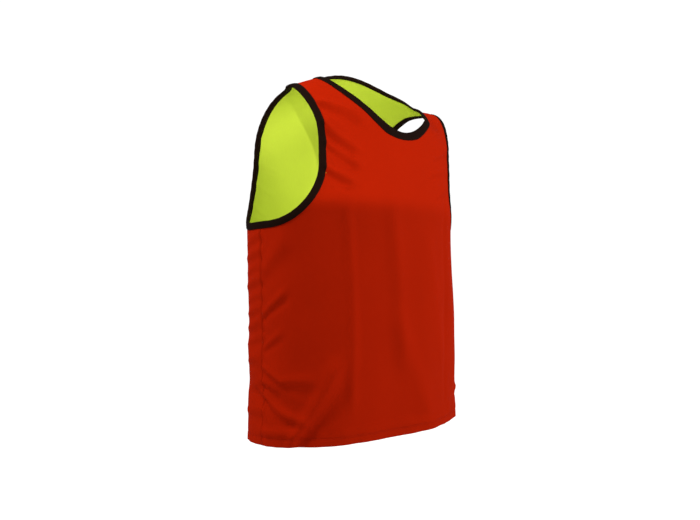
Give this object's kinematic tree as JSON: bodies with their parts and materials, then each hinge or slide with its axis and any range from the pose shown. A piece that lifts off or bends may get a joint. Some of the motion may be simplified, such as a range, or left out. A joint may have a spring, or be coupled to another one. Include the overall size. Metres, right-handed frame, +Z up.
{
  "type": "reversible training bib",
  "caption": "Sleeveless reversible training bib in two knit layers, open at neck, armholes and hem, with folded binding at neck and armholes, in its worn shape.",
  "frame": {"origin": "midway between the two shoulder straps, level with the straps' underside at the neck, above the side seams", "axes": "+X to the wearer's left, -Y to the wearer's front, +Z up along the body"},
  "size_m": [0.5318, 0.2935, 0.7648],
  "materials": {
    "outer_knit": "matt red interlock knit with a faint sheen",
    "inner_knit": "matt yellow-green interlock knit with a faint sheen",
    "binding": "matt black rib binding"
  },
  "bodies": {
    "root": {"front_outer": "outer_knit", "back_outer": "outer_knit", "front_inner": "inner_knit", "back_inner": "inner_knit", "neck_binding": "binding", "armhole_binding_right": "binding", "armhole_binding_left": "binding"}
  },
  "joints": []
}
